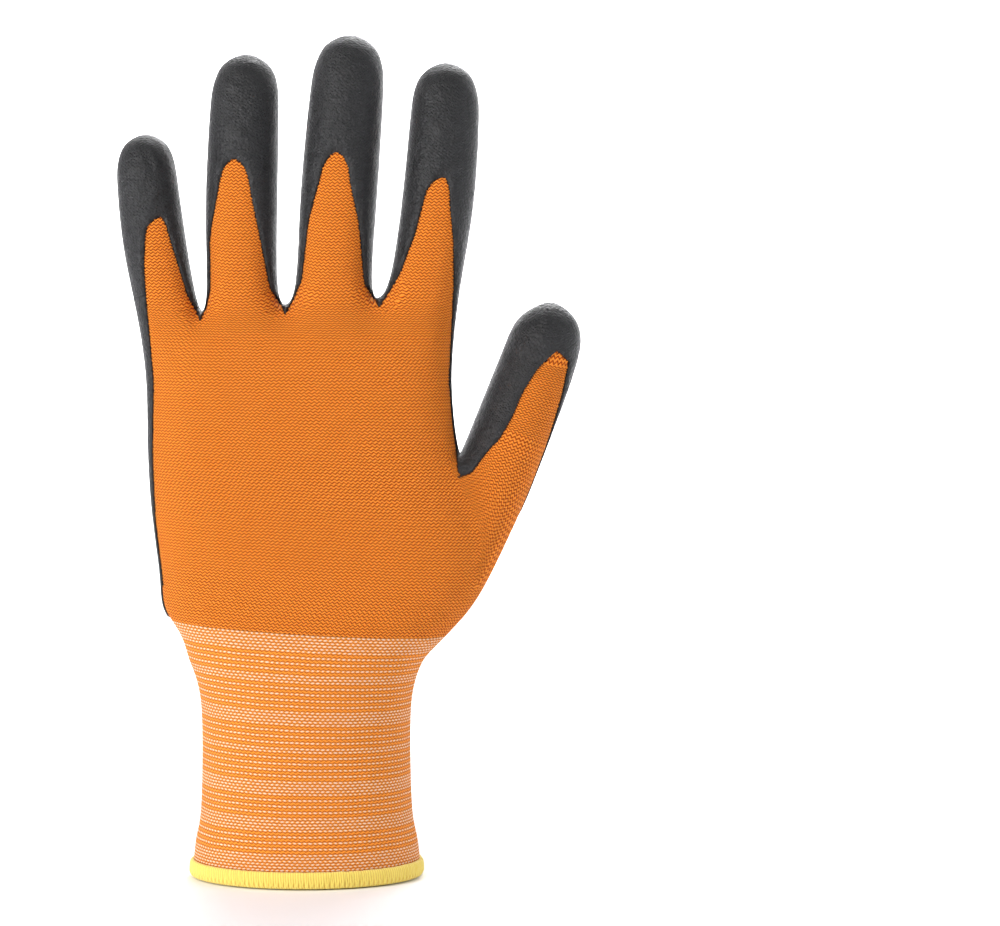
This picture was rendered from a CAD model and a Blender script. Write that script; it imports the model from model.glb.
"""Looks of a knitted work glove for the left hand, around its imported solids.

The glove's skin is one smooth surface. The knit hand, the wristband and the dipped coat are cut from it
along measured edges; the hem and the grip prints are built on it. Sizes are in millimetres until a mesh
is made.
"""

import logging
import math
from dataclasses import dataclass, field
from enum import Enum
from typing import Any, Callable

import bpy
import numpy as np
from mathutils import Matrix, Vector
from mathutils.bvhtree import BVHTree


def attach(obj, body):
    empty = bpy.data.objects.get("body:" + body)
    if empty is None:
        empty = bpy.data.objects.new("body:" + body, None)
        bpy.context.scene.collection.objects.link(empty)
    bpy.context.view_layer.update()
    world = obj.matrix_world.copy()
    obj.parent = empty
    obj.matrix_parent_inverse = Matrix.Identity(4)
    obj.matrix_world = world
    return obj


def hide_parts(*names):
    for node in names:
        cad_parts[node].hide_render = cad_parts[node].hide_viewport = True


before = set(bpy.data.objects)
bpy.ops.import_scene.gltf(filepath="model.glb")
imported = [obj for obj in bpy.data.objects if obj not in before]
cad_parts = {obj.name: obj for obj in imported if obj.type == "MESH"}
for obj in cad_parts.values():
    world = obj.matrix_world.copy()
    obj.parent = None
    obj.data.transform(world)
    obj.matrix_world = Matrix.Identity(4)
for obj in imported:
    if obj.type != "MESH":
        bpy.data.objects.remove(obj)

LOG = logging.getLogger("glove")
MM = 0.001
KNIT_MAP = "knit"
EDGE_FACT = "edge"
PRINT_FACT = "print"
NEAR_FACT = "near"
TAU = 2 * math.pi
PER_MM = 1000.0
FIT_ROUNDS = 6
OFF_THUMB = -1.0
NUDGE = 1e-4


class Slot(Enum):
    """The record's material slots."""

    HAND = "hand_knit"
    CUFF = "cuff_knit"
    HEM = "hem_yarn"
    COAT = "dipped_coat"
    GRIP = "grip_print"


# The skin


@dataclass(frozen=True)
class Finger:
    """One finger: sizes in mm, its root as shares of the palm, and the run of its centreline.

    The tongue is the bare part of its back: its apex, the apex's sideways place, and rows of
    (share of the tongue's height, left edge, right edge) in half widths.
    """

    name: str
    length: float
    width: float
    curl: float
    root: tuple[float, float]
    lean: float
    bend: float
    knuckle: tuple[float, float]
    apex: float
    apex_side: float
    tongue: tuple[tuple[float, float, float], ...]


FINGERS = (
    Finger("pinky", 51, 16, 7, (-0.437, 0.95), -0.235, 0.1, (0.2, 4.5), 0.53, 0.45,
           ((0.1, -0.62, 0.9), (0.5, -0.42, 0.78), (0.8, -0.2, 0.65))),
    Finger("ring", 71.7, 18.4, 9, (-0.199, 0.98), -0.03, 0.05, (0.0, 5.3), 0.58, -0.2,
           ((0.08, -0.98, 0.93), (0.45, -0.97, 0.66), (0.8, -0.65, 0.33))),
    Finger("middle", 75.4, 19.7, 9, (0.09, 1), 0.045, 0.028, (-0.2, 4.3), 0.55, -0.1,
           ((0.08, -0.93, 0.93), (0.5, -0.82, 0.7), (0.8, -0.55, 0.35))),
    Finger("index", 65.7, 18.4, 8, (0.38, 1.015), 0.212, -0.12, (-0.3, 5.0), 0.5, 0.1,
           ((0.08, -0.85, 0.9), (0.45, -0.6, 0.65), (0.8, -0.45, 0.35))),
)


@dataclass(frozen=True)
class HandSizes:
    """Sizes of the glove's skin in mm, and the tables of its level sections.

    A wristband row is (height, half width, half depth) as shares of the wrist's sizes. A hand row is
    (height, half width, sideways shift, back depth, palm depth, squareness, fan) as shares of the palm's.
    The web fold is where the courses start to rise round the webs as a share of the palm's length, over how
    many mm, and how much.
    """

    cuff_height: float = 74
    wrist_width: float = 61.4
    wrist_depth: float = 47
    palm_width: float = 93
    palm_depth: float = 30
    palm_length: float = 99
    slope: float = -0.06
    columns: int = 24
    side_swell: float = 1.022
    ring_swell: float = 1.2
    root_spread: float = 0.98
    flatness: float = 0.95
    root_palmward: float = 0.5
    tip_rise: float = 0.12
    cuff: tuple[tuple[float, ...], ...] = (
        (-0.05, 0.545, 0.52), (0.08, 0.545, 0.52), (0.17, 0.528, 0.515), (0.26, 0.504, 0.5),
        (0.66, 0.497, 0.485), (0.79, 0.523, 0.48), (0.87, 0.563, 0.47))
    palm: tuple[tuple[float, ...], ...] = (
        (-0.045, 0.397, 0.004, 0.7, 0.73, 2, 0), (0.03, 0.463, 0.012, 0.645, 0.7, 2.1, 0),
        (0.125, 0.505, 0.052, 0.6, 0.67, 2.2, 0.05), (0.32, 0.54, 0.06, 0.55, 0.62, 2.4, 0.2),
        (0.515, 0.487, -0.004, 0.52, 0.52, 2.5, 0.45), (0.74, 0.474, -0.016, 0.48, 0.46, 2.5, 0.8))
    finger_rings: tuple[tuple[float, float, float], ...] = (
        (0.38, 0, 1.04), (1, 1.6, 0.99), (1, 0.85, 0.92), (1, 0.27, 0.68))
    web_below: float = 0.035
    web_drop: float = 0.03
    web_depth: float = 0.3
    web_fold: tuple[float, float, float] = (0.88, 8, 0.25)
    finger_round: float = 0.92


@dataclass(frozen=True)
class ThumbSizes:
    """The thumb in mm, and its rings: (step, heading, axis, half width, palmward place)."""

    length: float = 71
    width: float = 20.8
    reach: float = 0.893
    swell: float = 1.108
    tip_step: float = 0.045
    rings: tuple[tuple[float, ...], ...] = (
        (0.19, 64, 48, 0.56, 0.06), (0.2, 69, 70, 0.515, 0.08), (0.355, 69, 78, 0.5, 0.1),
        (0.115, 76, 82, 0.45, 0.1), (0.065, 80, 84, 0.28, 0.1))
    root_row: int = 3
    hole_rows: tuple[int, int, int] = (2, 3, 4)
    round: float = 0.95
    cap: float = 3


class Skin:
    """The whole glove's outer surface, as a cage that is smoothed to pass through its first step."""

    def __init__(self, hand: HandSizes, thumb: ThumbSizes) -> None:
        """Builds the cage and smooths it.

        Args:
            hand: sizes of the wristband, palm and fingers.
            thumb: sizes of the thumb.
        """
        self.hand = hand
        self.thumb = thumb
        self.points: list[np.ndarray] = []
        self.faces: list[list[int]] = []
        self.corners: list[tuple[float, float]] = []
        self._cage()
        self._smooth()

    def finger_point(self, finger: Finger, along: float, side: float = 0) -> np.ndarray:
        """A place on a finger's centreline, or beside it.

        Args:
            finger: the finger.
            along: share of its length.
            side: sideways place in half widths.

        Returns:
            The place in mm.
        """
        h = self.hand
        half = finger.width / 2
        x = finger.root[0] * h.palm_width + finger.length * (finger.lean * along + finger.bend * along**2)
        z = h.cuff_height + finger.root[1] * h.palm_length + finger.length * along
        slope = finger.lean + 2 * finger.bend * along
        turn = math.hypot(1, slope)
        y = h.root_palmward + finger.curl * along**2
        return np.array([x + side * half / turn, y, z - side * half * slope / turn])

    def _finger_ring(self, finger: Finger, along: float, share: float) -> list[np.ndarray]:
        """A six-sided ring round a finger, from its left side over the back."""
        centre = self.finger_point(finger, along)
        sideways = self.finger_point(finger, along, 1) - centre
        sideways /= np.linalg.norm(sideways)
        half = finger.width / 2 * share * self.hand.ring_swell
        ring = []
        for k in range(6):
            angle = math.pi - k * TAU / 6
            point = centre + sideways * half * math.cos(angle)
            point[1] -= half * self.hand.flatness * math.sin(angle)
            ring.append(point)
        return ring

    def thumb_path(self) -> list[np.ndarray]:
        """The thumb's centreline, from the side of the palm to the tip, in mm."""
        h, t = self.hand, self.thumb
        row = h.palm[t.root_row]
        path = [np.array([(row[1] + row[2]) * h.palm_width * t.reach, 0.0, self._height(row)])]
        steps = [(s, heading, palmward) for s, heading, _, _, palmward in t.rings]
        steps.append((t.tip_step, t.rings[-1][2], t.rings[-1][4]))
        for step, heading, palmward in steps:
            angle = math.radians(heading)
            last = path[-1]
            path.append(np.array([last[0] + step * t.length * math.cos(angle), palmward * t.length,
                                  last[2] + step * t.length * math.sin(angle)]))
        return path

    def thumb_point(self, share: float, side: float) -> np.ndarray:
        """A place over the thumb.

        Args:
            share: share of the path's length.
            side: sideways place in half widths.

        Returns:
            The place in mm.
        """
        path = self.thumb_path()
        runs = [np.linalg.norm(b - a) for a, b in zip(path, path[1:])]
        rest = share * sum(runs)
        low = 0
        while low < len(runs) - 1 and rest > runs[low]:
            rest -= runs[low]
            low += 1
        heading = (path[low + 1] - path[low]) / runs[low]
        half = self.thumb.width / 2 * side
        return path[low] + heading * rest + np.array([heading[2] * half, 0, -heading[0] * half])

    def _height(self, row: tuple[float, ...]) -> float:
        """The height in mm of a section of the hand."""
        return self.hand.cuff_height + row[0] * self.hand.palm_length

    def _level_ring(self, row: tuple[float, ...], roots: list[np.ndarray]) -> list[np.ndarray]:
        """One level ring of the wristband or the hand, from the little finger's side round the back."""
        h = self.hand
        cuff = len(row) == 3
        if cuff:
            height, half, back, palm = row[0] * h.cuff_height, row[1] * h.wrist_width, row[2], row[2]
            middle, square, fan, depth = 0.0, 2.0, 0.0, h.wrist_depth
        else:
            height, half, middle = self._height(row), row[1] * h.palm_width, row[2] * h.palm_width
            back, palm, square, fan, depth = row[3], row[4], row[5], row[6], h.palm_depth
        ring = []
        for column in range(h.columns):
            even = -math.cos(column * TAU / h.columns)
            across = even + (roots[column][0] / (h.palm_width / 2) - even) * fan
            across = min(1.0, max(-1.0, across))
            side = column % (h.columns // 2) == 0
            u = even * h.side_swell if side else across
            rise = 0 if side else (1 - abs(u) ** square) ** (1 / square)
            y = (-back if column < h.columns // 2 else palm) * depth * rise
            x = middle + u * half
            ring.append(np.array([x, y, height + (0 if cuff else h.slope * x * (1 - fan))]))
        return ring

    def webs(self) -> list[tuple[np.ndarray, np.ndarray, np.ndarray]]:
        """The saddle between each two fingers: its back end, its top and its palm end."""
        h = self.hand
        saddles = []
        for left, right in zip(FINGERS, FINGERS[1:]):
            top = (self.finger_point(left, 0, 1) + self.finger_point(right, 0, -1)) / 2
            top[2] -= h.web_below * h.palm_length
            out = np.array([0, h.web_depth * h.palm_depth, 0])
            drop = np.array([0, 0, h.web_drop * h.palm_length])
            saddles.append((top - out - drop, top, top + out - drop))
        return saddles

    def _add(self, point: np.ndarray) -> int:
        """Adds a point to the cage and returns its index."""
        self.points.append(point)
        return len(self.points) - 1

    def _face(self, indices: list[int], across: list[float], along: list[float] | None = None) -> None:
        """Adds a face, with its corners' places in the knit in mm.

        Args:
            indices: the face's points.
            across: each corner's place across the wales.
            along: each corner's place along the thumb; off the thumb _course gives it later.
        """
        self.faces.append(indices)
        self.corners += zip(across, along or [OFF_THUMB] * len(indices))

    def _arcs(self, ring: list[np.ndarray], middle: float, share: float = 1) -> list[float]:
        """Running lengths round a closed ring, zero at a place given in steps from its first point."""
        runs = [0.0]
        for a, b in zip(ring, ring[1:] + ring[:1]):
            runs.append(runs[-1] + float(np.linalg.norm(b - a)) * share)
        low = int(middle)
        zero = runs[low] + (middle - low) * (runs[low + 1] - runs[low])
        return [run - zero for run in runs]

    def _tube(self, rings: list[list[int]], arcs: list[list[float]], tip: int,
              climbs: list[float] | None = None) -> None:
        """Quads between rings and a fan over the last.

        Args:
            rings: each ring's points.
            arcs: running lengths round each ring.
            tip: the point over the last ring.
            climbs: how far along the thumb each ring lies in mm, or None on a finger.
        """
        count = len(rings[0])
        for k in range(count):
            after = (k + 1) % count
            for low in range(len(rings) - 1):
                high = low + 1
                self._face([rings[low][k], rings[low][after], rings[high][after], rings[high][k]],
                           [arcs[low][k], arcs[low][k + 1], arcs[high][k + 1], arcs[high][k]],
                           climbs and [climbs[low]] * 2 + [climbs[high]] * 2)
            start, end = arcs[-1][k], arcs[-1][k + 1]
            self._face([rings[-1][k], rings[-1][after], tip], [start, end, (start + end) / 2],
                       climbs and [climbs[-1], climbs[-1], climbs[-1] + self.thumb.cap])

    def _cage(self) -> None:
        """The cage's points and faces, from the wristband's foot to the fingertips."""
        h, t = self.hand, self.thumb
        bases = [self._finger_ring(f, 0, h.root_spread) for f in FINGERS]
        webs = self.webs()
        roots: list[Any] = [None] * h.columns
        for f in range(len(FINGERS)):
            back = 3 * f + 1
            front = h.columns - back
            roots[back], roots[back + 1] = bases[f][1], bases[f][2]
            roots[front - 1], roots[front] = bases[f][4], bases[f][5]
        roots[0], roots[h.columns // 2] = bases[0][0], bases[-1][3]
        for w, (back_end, _, front_end) in enumerate(webs):
            roots[3 * w + 3], roots[h.columns - 3 * w - 3] = back_end, front_end
        levels = [self._level_ring(row, roots) for row in (*h.cuff, *h.palm)] + [roots]
        rows = [[self._add(p) for p in level] for level in levels]
        arcs = [self._arcs(level, h.columns / 4) for level in levels]
        side = h.columns // 2
        low, mid, high = (len(h.cuff) + k for k in t.hole_rows)
        for r in range(len(rows) - 1):
            for c in range(h.columns):
                if low <= r < high and c in (side - 1, side):
                    continue
                d = (c + 1) % h.columns
                self._face([rows[r][c], rows[r][d], rows[r + 1][d], rows[r + 1][c]],
                           [arcs[r][c], arcs[r][c + 1], arcs[r + 1][c + 1], arcs[r + 1][c]])
        starts = self._webs_and_bases(webs, bases, rows[-1], arcs[-1])
        for f, finger in enumerate(FINGERS):
            zero = (arcs[-1][3 * f + 1] + arcs[-1][3 * f + 2]) / 2
            rings = [starts[f]]
            ring_arcs = [[zero + a for a in self._arcs(bases[f], 1.5)]]
            for along, before, share in h.finger_rings:
                place = along - before * finger.width / 2 / finger.length
                points = self._finger_ring(finger, place, share)
                rings.append([self._add(p) for p in points])
                ring_arcs.append([zero + a for a in self._arcs(points, 1.5, h.finger_round)])
            tip = self.finger_point(finger, 1 + h.tip_rise * finger.width / 2 / finger.length)
            self._tube(rings, ring_arcs, self._add(tip))
        self._thumb_tube(rows, (low, mid, high))

    def _webs_and_bases(self, webs: list[tuple[np.ndarray, np.ndarray, np.ndarray]],
                        bases: list[list[np.ndarray]], top: list[int], arcs: list[float]) -> list[list[int]]:
        """The saddles between the fingers, over the hand's last ring.

        Args:
            webs: each saddle's back end, top and palm end.
            bases: each finger's lowest ring.
            top: the hand's last ring.
            arcs: running lengths round it.

        Returns:
            The points of each finger's lowest ring.
        """
        columns = self.hand.columns
        starts = []
        for f in range(len(FINGERS)):
            back, front = 3 * f + 1, columns - 3 * f - 1
            left = top[0] if f == 0 else self._add(bases[f][0])
            right = top[columns // 2] if f == len(FINGERS) - 1 else self._add(bases[f][3])
            starts.append([left, top[back], top[back + 1], right, top[front - 1], top[front]])
        for w, (back_end, middle, front_end) in enumerate(webs):
            saddle = self._add(middle)
            b, f = top[3 * w + 3], top[columns - 3 * w - 3]
            left, right = starts[w], starts[w + 1]
            for face, end in (([left[2], b, saddle, left[3]], back_end),
                              ([left[3], saddle, f, left[4]], front_end),
                              ([b, right[1], right[0], saddle], back_end),
                              ([saddle, right[0], right[5], f], front_end)):
                self._face(face, [arcs[3 * w + 3] + float(self.points[i][0] - end[0]) for i in face])
        return starts

    def _thumb_tube(self, rows: list[list[int]], holes: tuple[int, int, int]) -> None:
        """The thumb, grown from the hole left at the side of the palm."""
        low, mid, high = holes
        side = self.hand.columns // 2
        hole = [rows[high][side], rows[high][side - 1], rows[mid][side - 1], rows[low][side - 1],
                rows[low][side], rows[low][side + 1], rows[mid][side + 1], rows[high][side + 1]]
        path = self.thumb_path()
        rings = [hole]
        arcs = [self._arcs([self.points[i] for i in hole], 2)]
        climbs = [0.0]
        for (step, _, axis, share, _), centre in zip(self.thumb.rings, path[1:]):
            angle = math.radians(axis)
            half = share * self.thumb.width * self.thumb.swell
            points = []
            for k in range(len(hole)):
                turn = k * TAU / len(hole)
                inward = half * math.cos(turn)
                points.append(centre + np.array([-inward * math.sin(angle), -half * math.sin(turn),
                                                 inward * math.cos(angle)]))
            rings.append([self._add(p) for p in points])
            arcs.append(self._arcs(points, 2, self.thumb.round))
            climbs.append(climbs[-1] + step * self.thumb.length)
        self._tube(rings, arcs, self._add(path[-1]), climbs)

    def _course(self, places: np.ndarray) -> np.ndarray:
        """How far up the knit places off the thumb lie, in mm; the courses tilt less towards the fingers."""
        h = self.hand
        fan = np.interp(places[:, 2], [self._height(row) for row in h.palm], [row[6] for row in h.palm])
        start, run, climb = h.web_fold
        fold = np.clip(places[:, 2] - h.cuff_height - start * h.palm_length, 0, run) / run
        return places[:, 2] - h.slope * places[:, 0] * (1 - fan) + climb * fold * np.abs(places[:, 1])

    def _smooth(self) -> None:
        """Smooths the cage so that the surface passes through the points of its first step."""
        used = sorted({i for face in self.faces for i in face})
        place = {old: new for new, old in enumerate(used)}
        cage = bpy.data.meshes.new("skin_cage")
        cage.from_pydata([tuple(self.points[i]) for i in used], [],
                         [[place[i] for i in face] for face in self.faces])
        cage.uv_layers.new(name=KNIT_MAP).uv.foreach_set("vector", np.array(self.corners, np.float32).ravel())
        first = evaluated(cage, 1, False)
        goal = positions(first)
        control = goal.copy()
        for _ in range(FIT_ROUNDS):
            set_positions(first, control)
            limit = evaluated(first, 1, True)
            control += goal - positions(limit)[: len(goal)]
            bpy.data.meshes.remove(limit)
        set_positions(first, control)
        fine = evaluated(first, 2, True)
        fine.calc_loop_triangles()
        corners = np.zeros(len(fine.loop_triangles) * 3, np.int32)
        fine.loop_triangles.foreach_get("loops", corners)
        owners = np.zeros(len(fine.loops), np.int32)
        fine.loops.foreach_get("vertex_index", owners)
        uv = np.zeros(len(fine.loops) * 2, np.float32)
        fine.uv_layers[KNIT_MAP].uv.foreach_get("vector", uv)
        uv = uv.reshape(-1, 2)
        places = positions(fine)
        uv[:, 1] = np.where(uv[:, 1] < 0, self._course(places)[owners], uv[:, 1])
        normals = np.zeros(len(fine.vertices) * 3, np.float32)
        fine.vertex_normals.foreach_get("vector", normals)
        self.surface = Surface(places, normals.reshape(-1, 3).astype(float),
                               owners[corners].reshape(-1, 3), uv[corners].reshape(-1, 3, 2))
        for mesh in (cage, first, fine):
            bpy.data.meshes.remove(mesh)


def positions(mesh: bpy.types.Mesh) -> np.ndarray:
    """A mesh's vertex places, as rows."""
    found = np.zeros(len(mesh.vertices) * 3, np.float32)
    mesh.vertices.foreach_get("co", found)
    return found.reshape(-1, 3).astype(float)


def set_positions(mesh: bpy.types.Mesh, places: np.ndarray) -> None:
    """Moves a mesh's vertices to the given places."""
    mesh.vertices.foreach_set("co", places.astype(np.float32).ravel())
    mesh.update()


def evaluated(mesh: bpy.types.Mesh, levels: int, limit: bool) -> bpy.types.Mesh:
    """A smoothed copy of a mesh.

    Args:
        mesh: the coarse mesh.
        levels: how often its faces are split.
        limit: whether the points lie on the smooth surface itself.

    Returns:
        The new mesh.
    """
    thing = bpy.data.objects.new("smoothing", mesh)
    bpy.context.scene.collection.objects.link(thing)
    split = thing.modifiers.new("split", "SUBSURF")
    split.levels = levels
    split.use_limit_surface = limit
    split.uv_smooth = "NONE"
    view = bpy.context.evaluated_depsgraph_get()
    made = bpy.data.meshes.new_from_object(thing.evaluated_get(view), depsgraph=view)
    bpy.data.objects.remove(thing)
    return made


@dataclass
class Surface:
    """A triangle surface in mm: places, outward normals, triangles, their knit places and facts."""

    places: np.ndarray
    normals: np.ndarray
    triangles: np.ndarray
    uv: np.ndarray
    facts: dict[str, np.ndarray] = field(default_factory=dict)

    def cut(self, value: np.ndarray) -> "Surface":
        """The part of the surface where a value given at its points is above zero.

        Args:
            value: one number for each point.

        Returns:
            A new surface whose new edge lies where the value is zero.
        """
        value = np.where(np.abs(value) < NUDGE, NUDGE, value)
        count = (value[self.triangles] > 0).sum(1)
        triangles = [tuple(t) for t in self.triangles[count == 3]]
        uv = [tuple(map(tuple, c)) for c in self.uv[count == 3]]
        rows = {"places": [], "normals": []}
        facts = {name: [] for name in self.facts}
        made: dict[tuple[int, int], int] = {}
        total = len(self.places)
        for t in np.nonzero((count > 0) & (count < 3))[0]:
            polygon = []
            for k in range(3):
                a, b = int(self.triangles[t][k]), int(self.triangles[t][(k + 1) % 3])
                if value[a] > 0:
                    polygon.append((a, tuple(self.uv[t][k])))
                if (value[a] > 0) != (value[b] > 0):
                    share = value[a] / (value[a] - value[b])
                    key = (min(a, b), max(a, b))
                    if key not in made:
                        made[key] = total + len(made)
                        rows["places"].append(self.places[a] + (self.places[b] - self.places[a]) * share)
                        normal = self.normals[a] + (self.normals[b] - self.normals[a]) * share
                        rows["normals"].append(normal / np.linalg.norm(normal))
                        for name, held in self.facts.items():
                            facts[name].append(held[a] + (held[b] - held[a]) * share)
                    corner = self.uv[t][k] + (self.uv[t][(k + 1) % 3] - self.uv[t][k]) * share
                    polygon.append((made[key], tuple(corner)))
            for k in range(1, len(polygon) - 1):
                corners = (polygon[0], polygon[k], polygon[k + 1])
                triangles.append(tuple(c[0] for c in corners))
                uv.append(tuple(c[1] for c in corners))
        places = np.vstack([self.places, *rows["places"]]) if made else self.places
        normals = np.vstack([self.normals, *rows["normals"]]) if made else self.normals
        joined = {n: np.concatenate([self.facts[n], facts[n]]) for n in facts}
        index = np.array(triangles)
        kept, new = np.unique(index, return_inverse=True)
        return Surface(places[kept], normals[kept], new.reshape(-1, 3), np.array(uv),
                       {n: joined[n][kept] for n in joined})

    def closed(self, low: np.ndarray, high: np.ndarray) -> "Surface":
        """A closed shell between two offsets from the surface.

        Args:
            low: how far the inner face lies out along the normals, one number a point, in mm.
            high: the same for the outer face.

        Returns:
            The shell, its edge closed by a strip.
        """
        count = len(self.places)
        inner = self.places + self.normals * np.asarray(low)[:, None]
        outer = self.places + self.normals * np.asarray(high)[:, None]
        edges = {}
        for t, triangle in enumerate(self.triangles):
            for k in range(3):
                edges[(int(triangle[k]), int(triangle[(k + 1) % 3]))] = (t, k)
        strips, strip_uv = [], []
        for (a, b), (t, k) in edges.items():
            if (b, a) not in edges:
                p, q = self.uv[t][k], self.uv[t][(k + 1) % 3]
                strips += [(b + count, a + count, a), (b + count, a, b)]
                strip_uv += [(q, p, p), (q, p, q)]
        triangles = np.vstack([self.triangles + count, self.triangles[:, ::-1], np.array(strips)])
        uv = np.concatenate([self.uv, self.uv[:, ::-1], np.array(strip_uv)])
        facts = {n: np.concatenate([v, v]) for n, v in self.facts.items()}
        normals = np.vstack([-self.normals, self.normals])
        return Surface(np.vstack([inner, outer]), normals, triangles, uv, facts)


def build(name: str, surface: Surface, material: bpy.types.Material) -> bpy.types.Object:
    """Makes one piece of the glove, which stands for the solid of the same name.

    Args:
        name: the solid's name.
        surface: its closed surface in mm.
        material: its finish.

    Returns:
        The piece.
    """
    mesh = bpy.data.meshes.new(name)
    mesh.from_pydata((surface.places * MM).tolist(), [], surface.triangles.tolist())
    mesh.uv_layers.new(name=KNIT_MAP).uv.foreach_set("vector", surface.uv.astype(np.float32).ravel())
    for fact, values in surface.facts.items():
        mesh.attributes.new(fact, "FLOAT", "POINT").data.foreach_set("value", values.astype(np.float32))
    mesh.polygons.foreach_set("use_smooth", [True] * len(mesh.polygons))
    mesh.materials.append(material)
    piece = bpy.data.objects.new(f"{name}_look", mesh)
    bpy.context.scene.collection.objects.link(piece)
    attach(piece, "root")
    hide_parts(name)
    LOG.info("%s: %d triangles", name, len(surface.triangles))
    return piece


# The coat's outline


def outline_distance(x: np.ndarray, z: np.ndarray, outline: list[tuple[float, float]]) -> np.ndarray:
    """How far places lie outside a closed outline.

    Args:
        x: sideways places in mm.
        z: heights in mm.
        outline: the outline's corners.

    Returns:
        The distance in mm, below zero inside.
    """
    best = np.full(len(x), np.inf)
    inside = np.zeros(len(x), bool)
    for (ax, az), (bx, bz) in zip(outline, outline[1:] + outline[:1]):
        dx, dz = bx - ax, bz - az
        along = np.clip(((x - ax) * dx + (z - az) * dz) / max(dx * dx + dz * dz, 1e-9), 0, 1)
        best = np.minimum(best, np.hypot(x - ax - along * dx, z - az - along * dz))
        if az != bz:
            inside ^= ((az > z) != (bz > z)) & (x < ax + (z - az) / (bz - az) * dx)
    return np.where(inside, -best, best)


@dataclass(frozen=True)
class CoatSizes:
    """The coat in mm: where it lies over the knit, how thick it is, and the tables of its edge."""

    lift: float = 0.12
    thickness: float = 0.62
    rim: float = 0.22
    rounding: float = 1.1
    strip: float = 1.1
    strip_growth: float = 0.35
    lap: float = 15
    outside: float = 1.0
    crotch: float = 0.02
    tongue_steps: int = 6
    tongue_round: float = 0.6
    strip_rows: tuple[int, int] = (2, 4)
    plane: tuple[float, float] = (2.0, 0.06)
    side: tuple[float, float, float] = (45.0, 1.2, -0.4)
    thumb: tuple[tuple[float, float], ...] = (
        (0.15, -0.98), (0.207, -0.67), (0.31, -0.48), (0.38, -0.28), (0.48, -0.17), (0.6, -0.14),
        (0.72, 0.02), (0.81, 0.38), (0.775, 0.79), (0.65, 0.95), (0.46, 1.05), (0.363, 1.09),
        (0.297, 1.14), (0.25, 1.5))
    foot: tuple[tuple[float, float], ...] = (
        (-1.1, 1.2), (-0.85, 1.2), (-0.72, 0.9), (-0.61, 0.42), (-0.51, 0.08), (-0.3, 0.04), (0, -0.04),
        (0.42, -0.14), (0.56, 0.06), (0.64, 0.31), (0.74, 0.72), (0.9, 1.13), (1.07, 1.68), (1.3, 1.9))


class Coat:
    """The dipped coat over the palm, the fingers' sides and the fingertips."""

    def __init__(self, skin: Skin, sizes: CoatSizes) -> None:
        """Works out how far each point of the skin lies inside the coat's edge.

        Args:
            skin: the glove's skin.
            sizes: the coat's sizes and edge.
        """
        self.skin = skin
        self.sizes = sizes
        places = skin.surface.places
        back = outline_distance(places[:, 0], places[:, 2], self._bare_back())
        plane = sizes.plane[0] + sizes.plane[1] * places[:, 0]
        start, climb, low = sizes.side
        level = places[:, 1] - np.minimum(plane, low + climb * np.clip(places[:, 0] - start, 0, None))
        foot = outline_distance(places[:, 0], places[:, 2], self._below())
        self.edge = np.minimum(np.maximum(back, level), foot)
        skin.surface.facts[EDGE_FACT] = self.edge

    def _tongue_edge(self, finger: Finger, column: int) -> list[tuple[float, float]]:
        """One side of a finger's bare tongue, from its foot up to its round top.

        Args:
            finger: the finger.
            column: the side's column in the tongue's table.

        Returns:
            The side's corners in X and Z.
        """
        rows = [(row[0], row[column]) for row in finger.tongue]
        top, wide = rows[-1][0], rows[-1][1] - finger.apex_side
        for k in range(1, self.sizes.tongue_steps + 1):
            climb = math.sin(math.pi / 2 * k / self.sizes.tongue_steps)
            narrowing = (1 - climb ** 2) ** self.sizes.tongue_round
            rows.append((top + (1 - top) * climb, finger.apex_side + wide * narrowing))
        points = [self.skin.finger_point(finger, share * finger.apex, side) for share, side in rows]
        return [(float(point[0]), float(point[2])) for point in points]

    def _bare_back(self) -> list[tuple[float, float]]:
        """The bare back of the glove as an outline in X and Z."""
        s, skin, h = self.sizes, self.skin, self.skin.hand
        reach = h.palm_width
        strips = [((row[2] - row[1]) * h.palm_width + s.strip * (1 + s.strip_growth * k) - s.outside,
                   h.cuff_height + row[0] * h.palm_length) for k, row in enumerate(h.palm[s.strip_rows[0]:])]
        outline = [(-reach, -h.cuff_height), (-reach, strips[0][1] - s.lap / 2), *strips]
        webs = skin.webs()
        for f, finger in enumerate(FINGERS):
            outline += self._tongue_edge(finger, 1) + self._tongue_edge(finger, 2)[::-1]
            if f < len(webs):
                outline.append((webs[f][1][0], webs[f][1][2] - s.crotch * h.palm_length))
        outline += [((row[2] + row[1]) * h.palm_width - s.strip + s.outside,
                     h.cuff_height + row[0] * h.palm_length) for row in reversed(h.palm[s.strip_rows[1]:])]
        for share, side in s.thumb:
            point = skin.thumb_point(share, side)
            outline.append((float(point[0]), float(point[2])))
        outline.append((2 * reach, outline[-1][1]))
        outline.append((2 * reach, -h.cuff_height))
        return outline

    def _below(self) -> list[tuple[float, float]]:
        """Everything below the coat's lower edge as an outline in X and Z."""
        s, h = self.sizes, self.skin.hand
        half, foot, reach = h.palm_width / 2, h.cuff_height - s.lap, 4 * h.palm_width
        edge = [(x * half, foot + z * s.lap) for x, z in s.foot]
        return [*edge, (reach, edge[-1][1]), (reach, -reach), (-reach, -reach), (-reach, edge[0][1])]

    def surface(self) -> Surface:
        """The coat as a closed shell with a rounded, thinning rim, in mm."""
        s = self.sizes
        sheet = self.skin.surface.cut(self.edge)
        depth = np.clip(sheet.facts[EDGE_FACT] / s.rounding, 0, 1)
        round_off = np.sqrt(1 - (1 - depth) ** 2)
        high = s.lift + s.rim + (s.thickness - s.rim) * round_off
        return sheet.closed(np.full(len(high), s.lift), high)


# Hem and grips


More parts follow.
